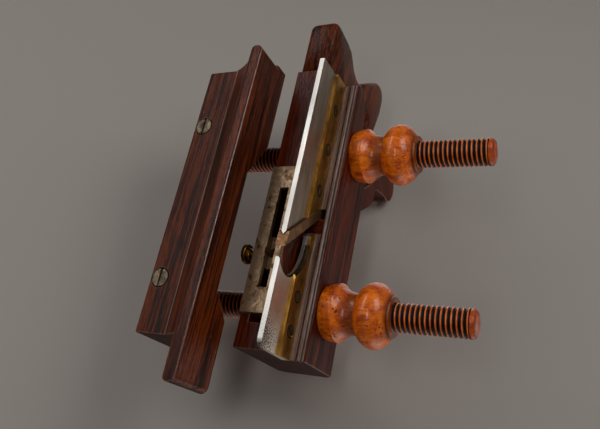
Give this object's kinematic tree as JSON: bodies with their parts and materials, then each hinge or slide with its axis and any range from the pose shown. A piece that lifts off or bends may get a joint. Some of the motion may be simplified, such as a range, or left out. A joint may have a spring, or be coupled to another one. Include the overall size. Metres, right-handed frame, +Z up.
{
  "type": "plough plane",
  "caption": "Handled screw-arm plough plane: wooden stock with a steel skate, iron and wedge, depth stop, and a sliding fence held by turned nuts.",
  "frame": {"origin": "on the skate's sole, midway through the skate's thickness and midway along the stock", "axes": "+X to the nuts' side, away from the fence; +Y to the toe; +Z up, away from the work"},
  "size_m": [0.2076, 0.286, 0.174],
  "materials": {
    "rosewood": "oiled, with a low sheen",
    "boxwood": "polished",
    "boxwood_arm": "worn along the thread",
    "skate_steel": "satin, bright along the sole",
    "iron_steel": "dull, with a brown patina",
    "stop_steel": "dull, with brown patches",
    "brass": "aged, bright along the edges",
    "screw_bronze": "dull"
  },
  "bodies": {
    "stock": {"stock": "rosewood", "tote": "rosewood", "skate_front": "skate_steel", "skate_rear": "skate_steel", "plate_front": "brass", "plate_rear": "brass", "plate_screws_front": "screw_bronze", "plate_screws_rear": "screw_bronze", "stop_top_plate": "brass", "top_plate_screws": "screw_bronze", "lock_bush": "brass"},
    "fence": {"fence": "rosewood", "arm_front": "boxwood_arm", "arm_rear": "boxwood_arm", "fence_bolt_front": "screw_bronze", "fence_bolt_rear": "screw_bronze"},
    "nut_front": {"nut_front": "boxwood"},
    "nut_rear": {"nut_rear": "boxwood"},
    "lock_nut_front": {"lock_nut_front": "boxwood"},
    "lock_nut_rear": {"lock_nut_rear": "boxwood"},
    "stop": {"depth_stop": "stop_steel"},
    "stop_screw": {"stop_screw": "brass"},
    "lock_screw": {"lock_screw": "brass"},
    "iron": {"iron": "iron_steel"},
    "wedge": {"wedge": "rosewood"}
  },
  "joints": [
    {"name": "fence_slide", "type": "slide", "parent": "stock", "child": "fence", "axis": [1, 0, 0], "range_m": [-0.048, 0.022]},
    {"name": "nut_front_turn", "type": "hinge", "parent": "stock", "child": "nut_front", "pos_m": [0, 0.0638, 0.0536], "axis": [1, 0, 0], "continuous": true},
    {"name": "nut_rear_turn", "type": "hinge", "parent": "stock", "child": "nut_rear", "pos_m": [0, -0.0527, 0.0536], "axis": [1, 0, 0], "continuous": true},
    {"name": "lock_nut_front_turn", "type": "hinge", "parent": "stock", "child": "lock_nut_front", "pos_m": [0, 0.0638, 0.0536], "axis": [1, 0, 0], "continuous": true},
    {"name": "lock_nut_rear_turn", "type": "hinge", "parent": "stock", "child": "lock_nut_rear", "pos_m": [0, -0.0527, 0.0536], "axis": [1, 0, 0], "continuous": true},
    {"name": "stop_slide", "type": "slide", "parent": "stock", "child": "stop", "axis": [0, 0, 1], "range_m": [-0.0087, 0.0002]},
    {"name": "stop_screw_turn", "type": "hinge", "parent": "stock", "child": "stop_screw", "pos_m": [-0.0129, 0.0385, 0.0795], "axis": [0, 0, 1], "continuous": true},
    {"name": "lock_screw_turn", "type": "hinge", "parent": "stock", "child": "lock_screw", "pos_m": [-0.0252, 0.0385, 0.0186], "axis": [-1, 0, 0], "range_deg": [-360, 90]},
    {"name": "iron_slide", "type": "slide", "parent": "stock", "child": "iron", "axis": [0, -0.6691, 0.7431], "range_m": [0, 0.03]},
    {"name": "wedge_slide", "type": "slide", "parent": "iron", "child": "wedge", "axis": [0, -0.6809, 0.7323], "range_m": [0, 0.025]}
  ],
  "couplings": [
    {"joint": "nut_front_turn", "follows": "fence_slide", "rad_per_m": -1979},
    {"joint": "nut_rear_turn", "follows": "fence_slide", "rad_per_m": -1979},
    {"joint": "lock_nut_front_turn", "follows": "fence_slide", "rad_per_m": -1979},
    {"joint": "lock_nut_rear_turn", "follows": "fence_slide", "rad_per_m": -1979},
    {"joint": "stop_screw_turn", "follows": "stop_slide", "rad_per_m": -4947.4}
  ]
}
